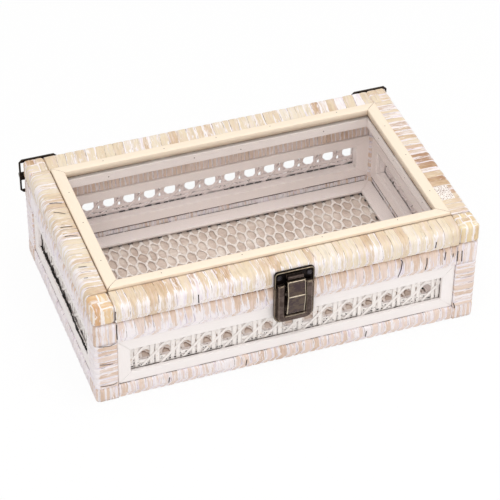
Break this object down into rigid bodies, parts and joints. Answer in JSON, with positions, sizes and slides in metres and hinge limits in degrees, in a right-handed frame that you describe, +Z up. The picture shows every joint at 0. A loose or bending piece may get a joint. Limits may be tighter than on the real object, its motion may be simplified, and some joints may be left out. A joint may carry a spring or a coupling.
{
  "type": "glass-topped display box",
  "caption": "Rattan-wrapped display box with cane windows, a cane floor, a hinged glazed lid and a sprung bronze latch.",
  "frame": {"origin": "middle of the box's bounding footprint, at the level of the surface that the box stands on", "axes": "+X along the length, to the right as one faces the latch; -Y towards the latch; +Z up"},
  "size_m": [0.3098, 0.2038, 0.0923],
  "materials": {
    "base_peel": "rattan peel wound over a wooden rail, thinly limewashed, matt",
    "lid_peel": "rattan peel wound over a wooden rail, straw yellow with a rubbed white wash, satin",
    "moulding_wood": "limewashed wood moulding, matt",
    "bead_wood": "cream painted wood bead, satin",
    "cane": "limewashed cane webbing, matt",
    "board": "thin plain board, matt",
    "glass": "clear polished sheet",
    "bronze": "dark antique bronze, rubbed bright on the edges",
    "steel": "plain drawn steel wire and pins"
  },
  "bodies": {
    "base": {"post_front_left": "base_peel", "post_front_right": "base_peel", "post_back_right": "base_peel", "post_back_left": "base_peel", "front_top_rail": "base_peel", "front_bottom_rail": "base_peel", "front_cane_panel": "cane", "front_outer_moulding": "moulding_wood", "front_inner_moulding": "moulding_wood", "right_top_rail": "base_peel", "right_bottom_rail": "base_peel", "right_cane_panel": "cane", "right_outer_moulding": "moulding_wood", "right_inner_moulding": "moulding_wood", "back_top_rail": "base_peel", "back_bottom_rail": "base_peel", "back_cane_panel": "cane", "back_outer_moulding": "moulding_wood", "back_inner_moulding": "moulding_wood", "left_top_rail": "base_peel", "left_bottom_rail": "base_peel", "left_cane_panel": "cane", "left_outer_moulding": "moulding_wood", "left_inner_moulding": "moulding_wood", "floor_board": "board", "floor_cane": "cane", "floor_front_moulding": "moulding_wood", "floor_right_moulding": "moulding_wood", "floor_back_moulding": "moulding_wood", "floor_left_moulding": "moulding_wood", "hinge_left_base_leaf": "bronze", "hinge_left_pin": "steel", "hinge_right_base_leaf": "bronze", "hinge_right_pin": "steel", "latch_base_plate": "bronze", "latch_pin": "steel", "latch_spring": "steel"},
    "lid": {"lid_front_rail": "lid_peel", "lid_front_bead": "bead_wood", "lid_front_glass_rest": "moulding_wood", "lid_right_rail": "lid_peel", "lid_right_bead": "bead_wood", "lid_right_glass_rest": "moulding_wood", "lid_back_rail": "lid_peel", "lid_back_bead": "bead_wood", "lid_back_glass_rest": "moulding_wood", "lid_left_rail": "lid_peel", "lid_left_bead": "bead_wood", "lid_left_glass_rest": "moulding_wood", "lid_glass": "glass", "hinge_left_lid_leaf": "bronze", "hinge_right_lid_leaf": "bronze", "latch_catch_plate": "bronze", "catch_screw_left": "bronze", "catch_screw_right": "bronze"},
    "lever": {"latch_lever": "bronze"}
  },
  "joints": [
    {"name": "lid_hinge", "type": "hinge", "parent": "base", "child": "lid", "pos_m": [0, 0.0997, 0.07345], "axis": [-1, 0, 0], "range_deg": [0, 180]},
    {"name": "latch_press", "type": "hinge", "parent": "base", "child": "lever", "pos_m": [0.0015, -0.0971, 0.0681], "axis": [1, 0, 0], "range_deg": [0, 9], "stiffness_Nm_per_rad": 0.05, "springref_deg": -8.59}
  ]
}
